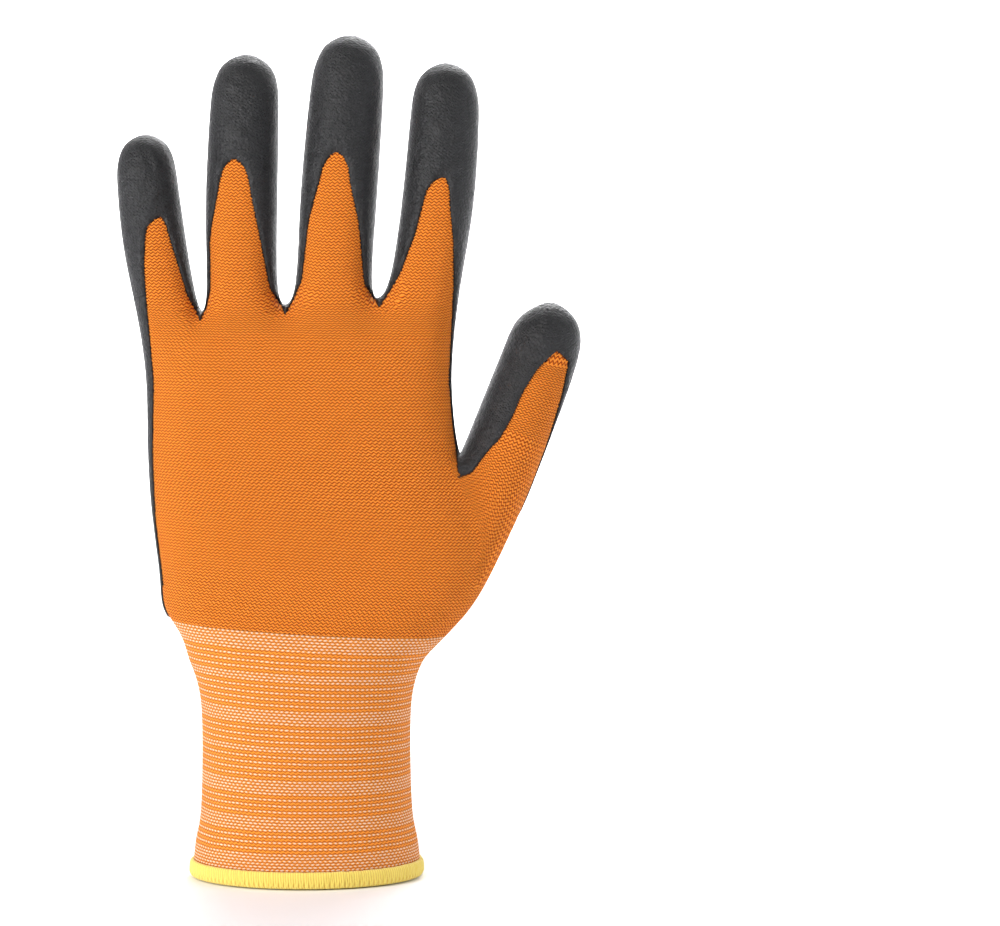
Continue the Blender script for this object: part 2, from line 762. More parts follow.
@dataclass(frozen=True)
class HemSizes:
    """The overlocked hem in mm: its oval, its roll inside and outside the wall, and its threads."""

    half_width: float = 33.3
    half_depth: float = 24.3
    height: float = 4.9
    proud: float = 1.55
    wall: float = 1.8
    inside: float = 1.0
    slot_floor: float = 1.2
    gap: float = 0.3
    pitch: float = 0.72
    steps: int = 6
    ridge: float = 0.24
    chain: float = 0.34
    chain_height: float = 1.15
    lean: float = 0.12
    outer_steps: int = 14
    outer_round: float = 0.6
    inner_steps: int = 6
    inner_round: float = 0.7
    inner_roll: tuple[float, float] = (0.49, 0.47)
    inner_gap: float = 0.1
    inner_threads: float = 0.7
    oval_steps: int = 4000
    seed: int = 7
    ridge_round: float = 0.7
    ridge_mean: float = 0.6
    chain_turn: float = 0.4
    chain_mean: float = 0.4
    chain_reach: float = 0.55
    chain_lift: float = 0.1
    unevenness: float = 0.05
    edge_wobble: float = 0.12
    edge_from: float = 0.6


class Hem:
    """The thick overlocked edge at the foot of the wristband."""

    def __init__(self, sizes: HemSizes) -> None:
        """Keeps the hem's sizes."""
        self.sizes = sizes

    def _profile(self) -> list[tuple[float, float, float]]:
        """The section: (outward place, height, how much the threads show), round the closed section."""
        s = self.sizes
        section = []
        for k in range(s.outer_steps + 1):
            angle = math.pi * (k / s.outer_steps - 0.5)
            swell = max(0.0, math.cos(angle))
            section.append((s.gap + (s.proud - s.gap) * swell ** s.outer_round,
                            s.height * (0.5 + 0.5 * math.sin(angle)),
                            swell ** 0.5 if 0 < k < s.outer_steps else 0))
        middle, half = s.inner_roll
        section += [(s.gap, s.slot_floor, 0), (-s.wall, s.slot_floor, 0),
                    (-s.wall, s.height * (middle + half), 0)]
        for k in range(s.inner_steps + 1):
            angle = math.pi * (0.5 - k / s.inner_steps)
            swell = max(0.0, math.cos(angle))
            section.append((-s.wall - s.inner_gap - s.inside * swell ** s.inner_round,
                            s.height * (middle + half * math.sin(angle)),
                            s.inner_threads if 0 < k < s.inner_steps else 0))
        return section

    def surface(self) -> Surface:
        """The hem as a closed ring, its threads real ridges, in mm."""
        s = self.sizes
        sweep = np.linspace(0, TAU, s.oval_steps)
        oval = np.column_stack([s.half_width * np.cos(sweep), s.half_depth * np.sin(sweep)])
        runs = np.concatenate([[0], np.cumsum(np.hypot(*np.diff(oval, axis=0).T))])
        threads = 2 * round(runs[-1] / s.pitch / 2)
        columns = threads * s.steps
        at = np.interp(np.linspace(0, runs[-1], columns, endpoint=False), runs, sweep)
        section = self._profile()
        uneven = np.random.default_rng(s.seed).normal(0, 1, threads)
        places, facts, uv = [], [], []
        for c, angle in enumerate(at):
            centre = np.array([s.half_width * math.cos(angle), s.half_depth * math.sin(angle)])
            out = np.array([math.cos(angle) / s.half_width, math.sin(angle) / s.half_depth])
            out /= np.linalg.norm(out)
            wobble = uneven[(c // s.steps) % threads]
            for reach, height, shows in section:
                turn = c / s.steps + s.lean * (height + wobble)
                ridge = abs(math.sin(math.pi * turn)) ** s.ridge_round
                loops = abs(math.sin(math.pi * (c / s.steps) / 2 + s.chain_turn))
                low = math.exp(-((height - s.chain_height) / s.chain_reach) ** 2)
                bulge = shows * ((ridge - s.ridge_mean) * s.ridge + low * (loops - s.chain_mean) * s.chain
                                 + s.unevenness * wobble)
                sign = 1 if reach > 0 else -1
                spot = centre + out * (reach + sign * bulge)
                edge = s.edge_wobble * wobble * max(0.0, height / s.height - s.edge_from)
                lift = edge + shows * s.chain_lift * (loops - 0.5) * low
                places.append([spot[0], spot[1], max(0.0, height + lift)])
                facts.append(ridge * (1 - low) + low * loops)
                uv.append([c / s.steps * s.pitch, height])
        points = len(section)
        triangles = []
        for c in range(columns):
            n = (c + 1) % columns
            for k in range(points):
                a, b = c * points + k, c * points + (k + 1) % points
                d, e = n * points + k, n * points + (k + 1) % points
                triangles += [(a, d, e), (a, e, b)]
        index = np.array(triangles)
        where = np.array(places)
        return Surface(where, np.zeros_like(where), index, np.array(uv)[index], {PRINT_FACT: np.array(facts)})


@dataclass(frozen=True)
class BarSizes:
    """Raised bars of one field in mm: their size and spacing, how they shorten, and their columns.

    A column is (sideways middle, length). A ripple of a bar's edge is (share of its width, turns along the
    field, turns across it), in radians a mm.
    """

    width: float
    pitch: float
    count: int
    columns: tuple[tuple[float, float], ...]
    taper: tuple[float, ...] = ()
    crescents: int = 0
    droop: float = 0.02
    height: float = 0.72
    squareness: float = 2.4
    halo: float = 2.2
    film: float = 0.05
    film_foot: float = 0.01
    margin: float = 0.55
    step: float = 0.3
    ripples: tuple[tuple[float, float, float], ...] = ((0.06, 5.1, 1.7), (0.05, -2.2, 3.3))


class Grip:
    """One field of printed bars on the coat, joined by a thin dark film."""

    ray_start = 100.0
    palm_face = 8.0

    def __init__(self, name: str, bars: BarSizes,
                 place: Callable[[float, float], tuple[float, float]]) -> None:
        """Keeps the field's bars and where they lie.

        Args:
            name: the solid that the field stands for.
            bars: its bars.
            place: gives X and Z in mm from the run along the field and the place across it.
        """
        self.name = name
        self.bars = bars
        self.place = place

    def _rise(self, along: np.ndarray, across: np.ndarray) -> tuple[np.ndarray, np.ndarray]:
        """How high the print stands, as a share, and how near each place is to a bar."""
        b = self.bars
        rise = np.zeros_like(along)
        near = np.zeros_like(along)
        wave = sum(share * np.sin(along * run + across * side) for share, run, side in b.ripples)
        for k in range(b.count):
            share = b.taper[k] if k < len(b.taper) else 1.0
            for middle, length in b.columns:
                half = b.width / 2 * (1 + wave)
                aside = across - middle * share
                droop = b.droop * aside**2 if k < b.crescents else 0
                ends = np.maximum(np.abs(aside) - (length * share / 2 - b.width / 2), 0)
                away = np.hypot(ends, along - k * b.pitch - droop) / half
                rise = np.maximum(rise, np.sqrt(np.clip(1 - away**b.squareness, 0, 1)))
                near = np.maximum(near, np.exp(-np.clip(away - 1, 0, None) * b.halo))
        return rise, near

    def surface(self, tree: BVHTree, skin: Surface, seat: float) -> Surface:
        """The field as a closed slab on the coat.

        Args:
            tree: the skin's triangles, for finding places on it.
            skin: the skin's surface.
            seat: how far the coat's face lies over the skin, in mm.

        Returns:
            The slab in mm.
        """
        b = self.bars
        low = min(m - n / 2 for m, n in b.columns) - b.margin
        high = max(m + n / 2 for m, n in b.columns) + b.margin
        runs = np.arange(-b.width / 2 - b.margin, (b.count - 1) * b.pitch + b.width / 2 + b.margin, b.step)
        sides = np.linspace(low, high, max(4, round((high - low) / b.step)))
        along, across = np.meshgrid(runs, sides, indexing="ij")
        rise, near = self._rise(along, across)
        feet = np.zeros(along.shape + (3,))
        ways = np.zeros_like(feet)
        for i in range(along.shape[0]):
            for j in range(along.shape[1]):
                feet[i, j], ways[i, j] = self._foot(tree, skin, *self.place(along[i, j], across[i, j]))
        top = feet + ways * (seat + b.film + rise * b.height)[..., None]
        base = feet + ways * (seat + b.film_foot)
        count = along.size
        grid = np.arange(count).reshape(along.shape)
        a, c, d, e = grid[:-1, :-1], grid[:-1, 1:], grid[1:, 1:], grid[1:, :-1]
        upper = np.concatenate([np.stack([a, c, d], -1).reshape(-1, 3),
                                np.stack([a, d, e], -1).reshape(-1, 3)])
        rim = np.concatenate([grid[0, :], grid[1:, -1], grid[-1, -2::-1], grid[-2:0:-1, 0]])
        after = np.roll(rim, -1)
        walls = np.concatenate([np.stack([rim, rim + count, after + count], -1),
                                np.stack([rim, after + count, after], -1)])
        index = np.concatenate([upper, upper[:, ::-1] + count, walls])
        flat = np.column_stack([across.ravel(), along.ravel()])
        uv = np.vstack([flat, flat])
        places = np.vstack([top.reshape(-1, 3), base.reshape(-1, 3)])
        facts = {PRINT_FACT: np.concatenate([rise.ravel(), np.zeros(count)]),
                 NEAR_FACT: np.concatenate([near.ravel(), np.zeros(count)])}
        made = Surface(places, np.zeros_like(places), index, uv[index], facts)
        corner = places[index[0]]
        if np.dot(np.cross(corner[1] - corner[0], corner[2] - corner[0]), ways[0, 0]) < 0:
            made.triangles, made.uv = made.triangles[:, ::-1], made.uv[:, ::-1]
        return made

    def _foot(self, tree: BVHTree, skin: Surface, x: float, z: float) -> tuple[np.ndarray, np.ndarray]:
        """The palm-side place on the skin over X and Z, and its outward direction."""
        hit, _, face, _ = tree.ray_cast(Vector((x, self.ray_start, z)), Vector((0, -1, 0)))
        if hit is None:
            hit, _, face, _ = tree.find_nearest(Vector((x, self.palm_face, z)))
        spot = np.array(hit)
        corners = skin.triangles[face]
        near = np.linalg.norm(skin.places[corners] - spot, axis=1) + 1e-6
        normal = (skin.normals[corners] / near[:, None]).sum(0)
        return spot, normal / np.linalg.norm(normal)


@dataclass(frozen=True)
class ArcSizes:
    """A curved row of bars in mm: its spacing and count, its curve's lowest place, rise and start."""

    pitch: float
    count: int
    low: tuple[float, float]
    rise: float
    start: float


@dataclass(frozen=True)
class GripSizes:
    """The fields of bars in mm: where they start, their bars' lengths, and the thumb's and arcs' sizes."""

    tip_length: float = 15.2
    tip_first: float = 4.4
    knuckle_length: float = 18.2
    pinky_columns: tuple[float, float, float] = (5.9, 2.4, 7.6)
    pinky_trim: float = 0.8
    thumb_columns: tuple[float, float, float] = (5.3, 2.0, 9.0)
    thumb_first: float = 6.6
    arc_length: float = 12.2
    arc_lead: float = 4.0
    arc_step: float = 0.05
    arc_end: float = 80
    upper_arc: ArcSizes = ArcSizes(3.8, 25, (7, 35), 0.0095, -39.5)
    lower_arc: ArcSizes = ArcSizes(5.1, 20, (7, 20), 0.008, -38)


class GripSet:
    """Every field of printed bars on the palm, the fingers and the thumb."""

    def __init__(self, skin: Skin, sizes: GripSizes) -> None:
        """Lays the fields out on the skin.

        Args:
            skin: the glove's skin.
            sizes: the fields' sizes.
        """
        self.skin = skin
        self.sizes = sizes
        self.fields = [f for finger in FINGERS for f in (self._tip(finger), self._knuckle(finger))]
        self.fields += [self._thumb(), self._arc("grip_upper_arc", sizes.upper_arc),
                        self._arc("grip_lower_arc", sizes.lower_arc)]

    def _tip(self, finger: Finger) -> Grip:
        """The bars under a fingertip."""
        length = self.sizes.tip_length * min(1.0, finger.width / FINGERS[1].width)
        bars = BarSizes(width=1.9, pitch=3.57, count=8, columns=((0, length),), taper=(0.55, 0.9, 0.97),
                        crescents=2)

        def place(along: float, across: float) -> tuple[float, float]:
            """X and Z on this finger."""
            share = 1 - (self.sizes.tip_first + along) / finger.length
            point = self.skin.finger_point(finger, share, 2 * across / finger.width)
            return float(point[0]), float(point[2])

        return Grip(f"grip_{finger.name}_tip", bars, place)

    def _knuckle(self, finger: Finger) -> Grip:
        """The bars at a finger's root."""
        side, below = finger.knuckle
        foot = self.skin.finger_point(finger, 0, side)
        columns = ((0.0, self.sizes.knuckle_length),)
        if finger is FINGERS[0]:
            outer, gap, inner = self.sizes.pinky_columns
            whole, trim = outer + gap + inner, self.sizes.pinky_trim
            columns = (((outer - whole + trim) / 2, outer - trim), ((whole - inner) / 2, inner))

        def place(along: float, across: float) -> tuple[float, float]:
            """X and Z at this finger's root."""
            return float(foot[0] + across), float(foot[2] - below - along)

        bars = BarSizes(width=2.1, pitch=3.75, count=5, columns=columns)
        return Grip(f"grip_{finger.name}_knuckle", bars, place)

    def _thumb(self) -> Grip:
        """The two columns of bars under the thumb."""
        path = self.skin.thumb_path()
        tip = path[-1]
        heading = (tip - path[2]) * np.array([1, 0, 1])
        heading /= np.linalg.norm(heading)
        short, gap, long = self.sizes.thumb_columns
        whole = short + gap + long
        bars = BarSizes(width=1.9, pitch=3.35, count=11, taper=(0.66, 0.84, 0.94),
                        columns=(((short - whole) / 2, short), ((whole - long) / 2, long)))

        def place(along: float, across: float) -> tuple[float, float]:
            """X and Z under the thumb."""
            down = self.sizes.thumb_first + along
            return (float(tip[0] - heading[0] * down + heading[2] * across),
                    float(tip[2] - heading[2] * down - heading[0] * across))

        return Grip("grip_thumb_tip", bars, place)

    def _arc(self, name: str, arc: ArcSizes) -> Grip:
        """Radial bars along a hanging curve across the palm."""
        s = self.sizes
        steps = [arc.start - s.arc_lead]
        while steps[-1] < s.arc_end:
            steps.append(steps[-1] + s.arc_step / math.hypot(1, 2 * arc.rise * (steps[-1] - arc.low[0])))
        zero = next(k for k, x in enumerate(steps) if x >= arc.start)
        cuff = self.skin.hand.cuff_height

        def place(along: float, across: float) -> tuple[float, float]:
            """X and Z on the curve."""
            x = steps[min(len(steps) - 1, max(0, zero + round(along / s.arc_step)))]
            slope = 2 * arc.rise * (x - arc.low[0])
            out = across / math.hypot(1, slope)
            return x - slope * out, cuff + arc.low[1] + arc.rise * (x - arc.low[0]) ** 2 + out

        bars = BarSizes(width=2.05, pitch=arc.pitch, count=arc.count, columns=((0.0, s.arc_length),))
        return Grip(name, bars, place)


# Finishes


def linear(code: str) -> tuple[float, float, float, float]:
    """A colour written as sRGB hex, as linear numbers.

    Args:
        code: such as "#ff8800".

    Returns:
        Red, green, blue and an alpha of one.
    """
    parts = [int(code[k : k + 2], 16) / 255 for k in (1, 3, 5)]
    red, green, blue = (p / 12.92 if p <= 0.04045 else ((p + 0.055) / 1.055) ** 2.4 for p in parts)
    return red, green, blue, 1.0


class Finish:
    """A material's nodes, and the one way to add to them."""

    def __init__(self, name: str) -> None:
        """Starts an empty material.

        Args:
            name: what the real material is and how it is made.
        """
        self.material = bpy.data.materials.new(name)
        self.material.use_nodes = True
        self.tree = self.material.node_tree
        self.tree.nodes.clear()

    def add(self, kind: str, *values: Any, out: str | int = 0, **more: Any) -> Any:
        """Adds one node.

        Args:
            kind: the node's type, without its common beginning.
            values: sockets to link, or constants to set, for its inputs in order; None leaves one as it is.
            out: the output wanted.
            more: node settings, or inputs by name where the name begins with a capital.

        Returns:
            The wanted output socket.
        """
        node = self.tree.nodes.new(f"ShaderNode{kind}")
        inputs = {}
        for name, value in more.items():
            if name[0].isupper():
                inputs[name.replace("_", " ")] = value
            else:
                setattr(node, name, value)
        for key, value in [*enumerate(values), *inputs.items()]:
            if isinstance(value, bpy.types.NodeSocket):
                self.tree.links.new(value, node.inputs[key])
            elif value is not None:
                node.inputs[key].default_value = value
        return node.outputs[out] if node.outputs else node

    def math(self, operation: str, *values: Any, clamp: bool = False) -> Any:
        """Adds a sum of one or two values and returns its result."""
        return self.add("Math", *values, operation=operation, use_clamp=clamp)

    def mix(self, share: Any, low: Any, high: Any) -> Any:
        """Adds a mix of two colours and returns its result."""
        return self.add("MixRGB", share, low, high)

    def end(self, surface: Any) -> bpy.types.Material:
        """Links the surface to the output and returns the material."""
        self.add("OutputMaterial", surface)
        return self.material


@dataclass(frozen=True)
class Courses:
    """Rows of knit in mm: course height, wave length, how far the yarn waves, and how uneven it is."""

    height: float
    wave: float
    swing: float
    uneven: float = 0.28

    def weave(self, finish: Finish, u: Any, v: Any) -> tuple[Any, Any, Any]:
        """Adds the yarn's shape.

        Args:
            finish: the material.
            u: place across the wales in mm.
            v: place along them, counted in courses.

        Returns:
            The yarn's height, the holes between loops, and the number of the course.
        """
        turn = finish.math("MULTIPLY", u, TAU / self.wave)
        wave = finish.math("MULTIPLY", finish.math("SINE", turn), self.swing)
        lifted = finish.math("ADD", v, wave)
        row = finish.math("FLOOR", lifted)
        part = finish.math("SUBTRACT", lifted, row)
        ridge = finish.math("POWER", finish.math("SINE", finish.math("MULTIPLY", part, math.pi)), 0.7)
        odd = finish.math("MULTIPLY", finish.math("MODULO", row, 2.0), math.pi)
        beat = finish.math("COSINE", finish.math("ADD", turn, odd))
        open_part = finish.math("MULTIPLY_ADD", beat, 0.5, 0.5)
        gap = finish.math("SUBTRACT", 1.0, ridge)
        hole = finish.math("MULTIPLY", gap, finish.math("POWER", open_part, 1.5), clamp=True)
        twist = finish.math("SINE", finish.math("MULTIPLY", finish.math("ADD", u, part), TAU / 0.33))
        height = finish.math("ADD", ridge, finish.math("MULTIPLY", twist, 0.08))
        return height, hole, row


@dataclass(frozen=True)
class HandKnit:
    """Fine plain knit of orange nylon yarn: wavy courses with dark holes, soft and matt.

    The drift of the courses and the blotches of the dye are in repeats a mm.
    """

    courses: Courses = Courses(0.89, 1.4, 0.24)
    bright: str = "#ff9f3b"
    body: str = "#f26e09"
    hole: str = "#7c2600"
    dull: str = "#f06e0f"
    stain: str = "#1c1a19"
    drift: float = 0.16
    blotch: float = 0.5

    def make(self) -> bpy.types.Material:
        """Builds the material: yarn that catches the light, holes that don't, black soaked in at the edge."""
        f = Finish("orange_nylon_yarn_knitted")
        place = f.add("UVMap", uv_map=KNIT_MAP)
        drift = f.add("TexNoise", place, None, self.drift, 2.0, out="Fac", noise_dimensions="2D")
        slip = f.math("MULTIPLY", f.math("SUBTRACT", drift, 0.5), self.courses.uneven * 2)
        split = f.add("SeparateXYZ", place)
        u = f.math("ADD", split, slip)
        v = f.math("ADD", f.math("DIVIDE", split.node.outputs[1], self.courses.height), slip)
        height, hole, _ = self.courses.weave(f, u, v)
        blotch = f.add("TexNoise", place, None, self.blotch, 3.0, out="Fac", noise_dimensions="2D")
        yarn = f.mix(f.math("POWER", height, 2.6, clamp=True), linear(self.body), linear(self.bright))
        yarn = f.mix(f.math("MULTIPLY", blotch, 0.28), yarn, linear(self.dull))
        colour = f.mix(f.math("MULTIPLY", hole, 2.6, clamp=True), yarn, linear(self.hole))
        colour = f.mix(self._soaked(f, place, height), colour, linear(self.stain))
        bump = f.add("Bump", 1.0, 0.0004, Height=height)
        return f.end(f.add("BsdfPrincipled", colour, Roughness=0.85, Normal=bump, Specular_IOR_Level=0.2,
                           Sheen_Weight=0.06, Sheen_Roughness=0.5, Sheen_Tint=linear("#ffb060")))

    def _soaked(self, f: Finish, place: Any, height: Any) -> Any:
        """Where the coat has crept into the knit just past its edge."""
        edge = f.add("Attribute", attribute_name=EDGE_FACT, out="Fac")
        fray = f.add("TexNoise", place, None, 1.3, 2.0, out="Fac", noise_dimensions="2D")
        reach = f.math("MULTIPLY_ADD", fray, 0.9, 0.05)
        low = f.math("ADD", edge, f.math("ADD", reach, f.math("MULTIPLY", height, -0.35)))
        return f.math("MULTIPLY", low, 6.0, clamp=True)


@dataclass(frozen=True)
class CuffKnit:
    """Elastic rib of orange yarn: pale covered-elastic stitches show as dotted rows, in bands.

    A dot is (half length, half height), in dot pitches and courses. A band is (first course, course after
    it) from the top, and past the flip the single rows lie on the odd courses.
    """

    courses: Courses = Courses(1.0, 1.5, 0.16)
    dot_pitch: float = 1.5
    dots: tuple[float, float] = (0.25, 0.25)
    bands: tuple[tuple[int, int], ...] = (
        (0, 1), (2, 6), (13, 16), (25, 30), (37, 39), (48, 53), (60, 65), (72, 79))
    flip: float = 38.5
    last: int = 80
    body: str = "#e2720f"
    bright: str = "#fb9a35"
    hole: str = "#8f3406"
    glow: str = "#ffc48a"
    elastic: str = "#fbe6cc"

    def make(self) -> bpy.types.Material:
        """Builds the material: orange rows, with near-white dots on the elastic's rows."""
        f = Finish("orange_yarn_and_pale_elastic_knitted")
        place = f.add("UVMap", uv_map=KNIT_MAP)
        drift = f.add("TexNoise", place, None, 0.12, 2.0, out="Fac", noise_dimensions="2D")
        slip = f.math("MULTIPLY", f.math("SUBTRACT", drift, 0.5), self.courses.uneven)
        split = f.add("SeparateXYZ", place)
        u = f.math("ADD", split, slip)
        v = f.math("ADD", split.node.outputs[1], slip)
        height, hole, _ = self.courses.weave(f, u, v)
        row = f.math("FLOOR", v)
        odd = f.math("MODULO", row, 2.0)
        across = f.math("ADD", f.math("DIVIDE", u, self.dot_pitch), f.math("MULTIPLY", odd, 0.5))
        aside = f.math("SUBTRACT", f.math("FRACT", across), 0.5)
        above = f.math("SUBTRACT", f.math("FRACT", v), 0.5)
        stitch = f.add("CombineXYZ", f.math("FLOOR", across), row)
        chance = f.add("TexWhiteNoise", stitch, noise_dimensions="2D")
        length = f.math("MULTIPLY_ADD", chance, 0.16, self.dots[0])
        wide = f.math("POWER", f.math("DIVIDE", aside, length), 2.0)
        tall = f.math("POWER", f.math("DIVIDE", above, self.dots[1]), 2.0)
        dot = f.math("MULTIPLY", f.math("SUBTRACT", 1.0, f.math("ADD", wide, tall)), 2.5, clamp=True)
        share = f.math("DIVIDE", f.math("ADD", row, 0.5), float(self.last))
        band = self._banded(f, share)
        late = f.math("GREATER_THAN", row, self.flip)
        single = f.math("MODULO", f.math("ADD", row, late), 2.0)
        white = f.math("MULTIPLY", dot, f.math("MAXIMUM", band, single))
        yarn = f.mix(f.math("POWER", height, 1.5, clamp=True), linear(self.body), linear(self.bright))
        colour = f.mix(f.math("MULTIPLY", hole, 1.8, clamp=True), yarn, linear(self.hole))
        colour = f.mix(f.math("MULTIPLY", f.math("MAXIMUM", band, single), 0.1), colour, linear(self.glow))
        colour = f.mix(f.math("MULTIPLY", white, 0.9), colour, linear(self.elastic))
        relief = f.math("ADD", height, f.math("MULTIPLY", white, 0.9))
        bump = f.add("Bump", 0.8, 0.00028, Height=relief)
        return f.end(f.add("BsdfPrincipled", colour, Roughness=0.8, Normal=bump, Specular_IOR_Level=0.2,
                           Sheen_Weight=0.1, Sheen_Roughness=0.5, Sheen_Tint=linear("#ffe0c0")))

    def _banded(self, f: Finish, share: Any) -> Any:
        """One where the course lies in a dense band of elastic."""
        band = f.add("ValToRGB", share)
        ramp = band.node.color_ramp
        ramp.interpolation = "CONSTANT"
        ramp.elements[0].color = (0, 0, 0, 1)
        ramp.elements[1].position = 1.0
        ramp.elements[1].color = (0, 0, 0, 1)
        for first, after in self.bands:
            for row, light in ((first, 1.0), (after, 0.0)):
                stop = ramp.elements.new(min(0.999, max(0.0001, row / self.last)))
                stop.color = (light, light, light, 1)
        return band


@dataclass(frozen=True)
class DippedCoat:
    """Black nitrile dipped over the knit: satin, finely grained, the knit just showing through."""

    courses: Courses = Courses(0.89, 1.4, 0.24)

    def make(self) -> bpy.types.Material:
        """Builds the material: dark, with a grey sheen where it turns away and small wrinkles."""
        f = Finish("black_nitrile_dipped_over_knit")
        place = f.add("UVMap", uv_map=KNIT_MAP)
        spot = f.add("TexCoord", out="Object")
        split = f.add("SeparateXYZ", place)
        v = f.math("DIVIDE", split.node.outputs[1], self.courses.height)
        height, _, _ = self.courses.weave(f, split, v)
        grain = f.add("TexNoise", spot, None, 1.5 * PER_MM, 3.0, 0.65, out="Fac")
        pits = f.add("TexVoronoi", spot, None, 1.1 * PER_MM, out="Distance")
        creases = f.add("TexNoise", spot, None, 0.19 * PER_MM, 3.0, 0.6, out="Fac",
                        noise_type="RIDGED_MULTIFRACTAL")
        soft = f.add("TexNoise", spot, None, 0.07 * PER_MM, 2.0, out="Fac")
        colour = f.mix(grain, linear("#080809"), linear("#171719"))
        colour = f.mix(f.math("MULTIPLY", soft, 0.3), colour, linear("#1d1d20"))
        rough = f.math("MULTIPLY_ADD", grain, 0.24, 0.29)
        bump = f.add("Bump", 0.7, 0.0012, Height=f.math("ADD", creases, soft))
        bump = f.add("Bump", 0.5, 0.0003, Height=height, Normal=bump)
        bump = f.add("Bump", 0.9, 0.0003, Height=f.math("ADD", grain, pits), Normal=bump)
        return f.end(f.add("BsdfPrincipled", colour, Roughness=rough, Normal=bump, Specular_IOR_Level=0.5))


@dataclass(frozen=True)
class HemYarn:
    """Thick yellow polyester overlock stitches, soft and slightly fuzzy."""

    def make(self) -> bpy.types.Material:
        """Builds the material: bright threads with darker grooves and a fine twist."""
        f = Finish("yellow_polyester_yarn_overlocked")
        place = f.add("UVMap", uv_map=KNIT_MAP)
        ridge = f.add("Attribute", attribute_name=PRINT_FACT, out="Fac")
        split = f.add("SeparateXYZ", place)
        strand = f.math("MULTIPLY_ADD", split.node.outputs[1], 1.4, split)
        twist = f.math("SINE", f.math("MULTIPLY", strand, TAU / 0.36))
        fuzz = f.add("TexNoise", place, None, 6.0, 4.0, out="Fac", noise_dimensions="2D")
        colour = f.mix(f.math("POWER", ridge, 1.3, clamp=True), linear("#d9a92a"), linear("#fbe566"))
        colour = f.mix(f.math("MULTIPLY", fuzz, 0.35), colour, linear("#fff09a"))
        relief = f.math("ADD", f.math("MULTIPLY", twist, 0.35), fuzz)
        bump = f.add("Bump", 0.5, 0.00012, Height=relief)
        return f.end(f.add("BsdfPrincipled", colour, Roughness=0.75, Normal=bump, Specular_IOR_Level=0.3,
                           Sheen_Weight=0.3, Sheen_Roughness=0.5))


@dataclass(frozen=True)
class GripPrint:
    """Glossy orange resin printed in thick bars, with a thin dark film between them."""

    def make(self) -> bpy.types.Material:
        """Builds the material: wet-looking orange bars, paler at their rims, on a film dark as the coat."""
        f = Finish("orange_resin_screen_printed")
        spot = f.add("TexCoord", out="Object")
        rise = f.add("Attribute", attribute_name=PRINT_FACT, out="Fac")
        near = f.add("Attribute", attribute_name=NEAR_FACT, out="Fac")
        printed = f.math("MULTIPLY", f.math("SUBTRACT", rise, 0.16), 9.0, clamp=True)
        grain = f.add("TexNoise", spot, None, 3.2 * PER_MM, 3.0, 0.6, out="Fac")
        specks = f.add("TexVoronoi", spot, None, 1.7 * PER_MM, out="Distance")
        few = f.add("TexNoise", spot, None, 0.9 * PER_MM, 1.0, out="Fac")
        speck = f.math("MULTIPLY", f.math("LESS_THAN", specks, 0.3), f.math("GREATER_THAN", few, 0.56))
        speck = f.math("MULTIPLY", speck, f.math("GREATER_THAN", near, 0.35))
        film = f.mix(grain, linear("#141416"), linear("#29292c"))
        film = f.mix(f.math("MULTIPLY", speck, 0.7), film, linear("#b8b46a"))
        rim = f.math("SUBTRACT", 1.0, rise)
        bar = f.mix(f.math("POWER", rim, 2.0, clamp=True), linear("#e0601f"), linear("#ff9c58"))
        cloud = f.add("TexNoise", spot, None, 0.5 * PER_MM, 2.0, out="Fac")
        bar = f.mix(f.math("MULTIPLY", cloud, 0.3), bar, linear("#c94d14"))
        colour = f.mix(printed, film, bar)
        rough = f.math("MULTIPLY_ADD", printed, -0.33, 0.5)
        lumps = f.add("Bump", 0.35, 0.00025, Height=cloud)
        return f.end(f.add("BsdfPrincipled", colour, Roughness=rough, Normal=lumps, Specular_IOR_Level=0.6,
                           Coat_Weight=f.math("MULTIPLY", printed, 0.7), Coat_Roughness=0.08))


# The glove and its setting


@dataclass(frozen=True)
class WallSizes:
    """The fabric's walls in mm."""

    hand: float = 1.1
    cuff: float = 1.4
    seam: float = 0.03
    foot: float = 1.5
    rows: float = 78
    first_row: float = 4.8


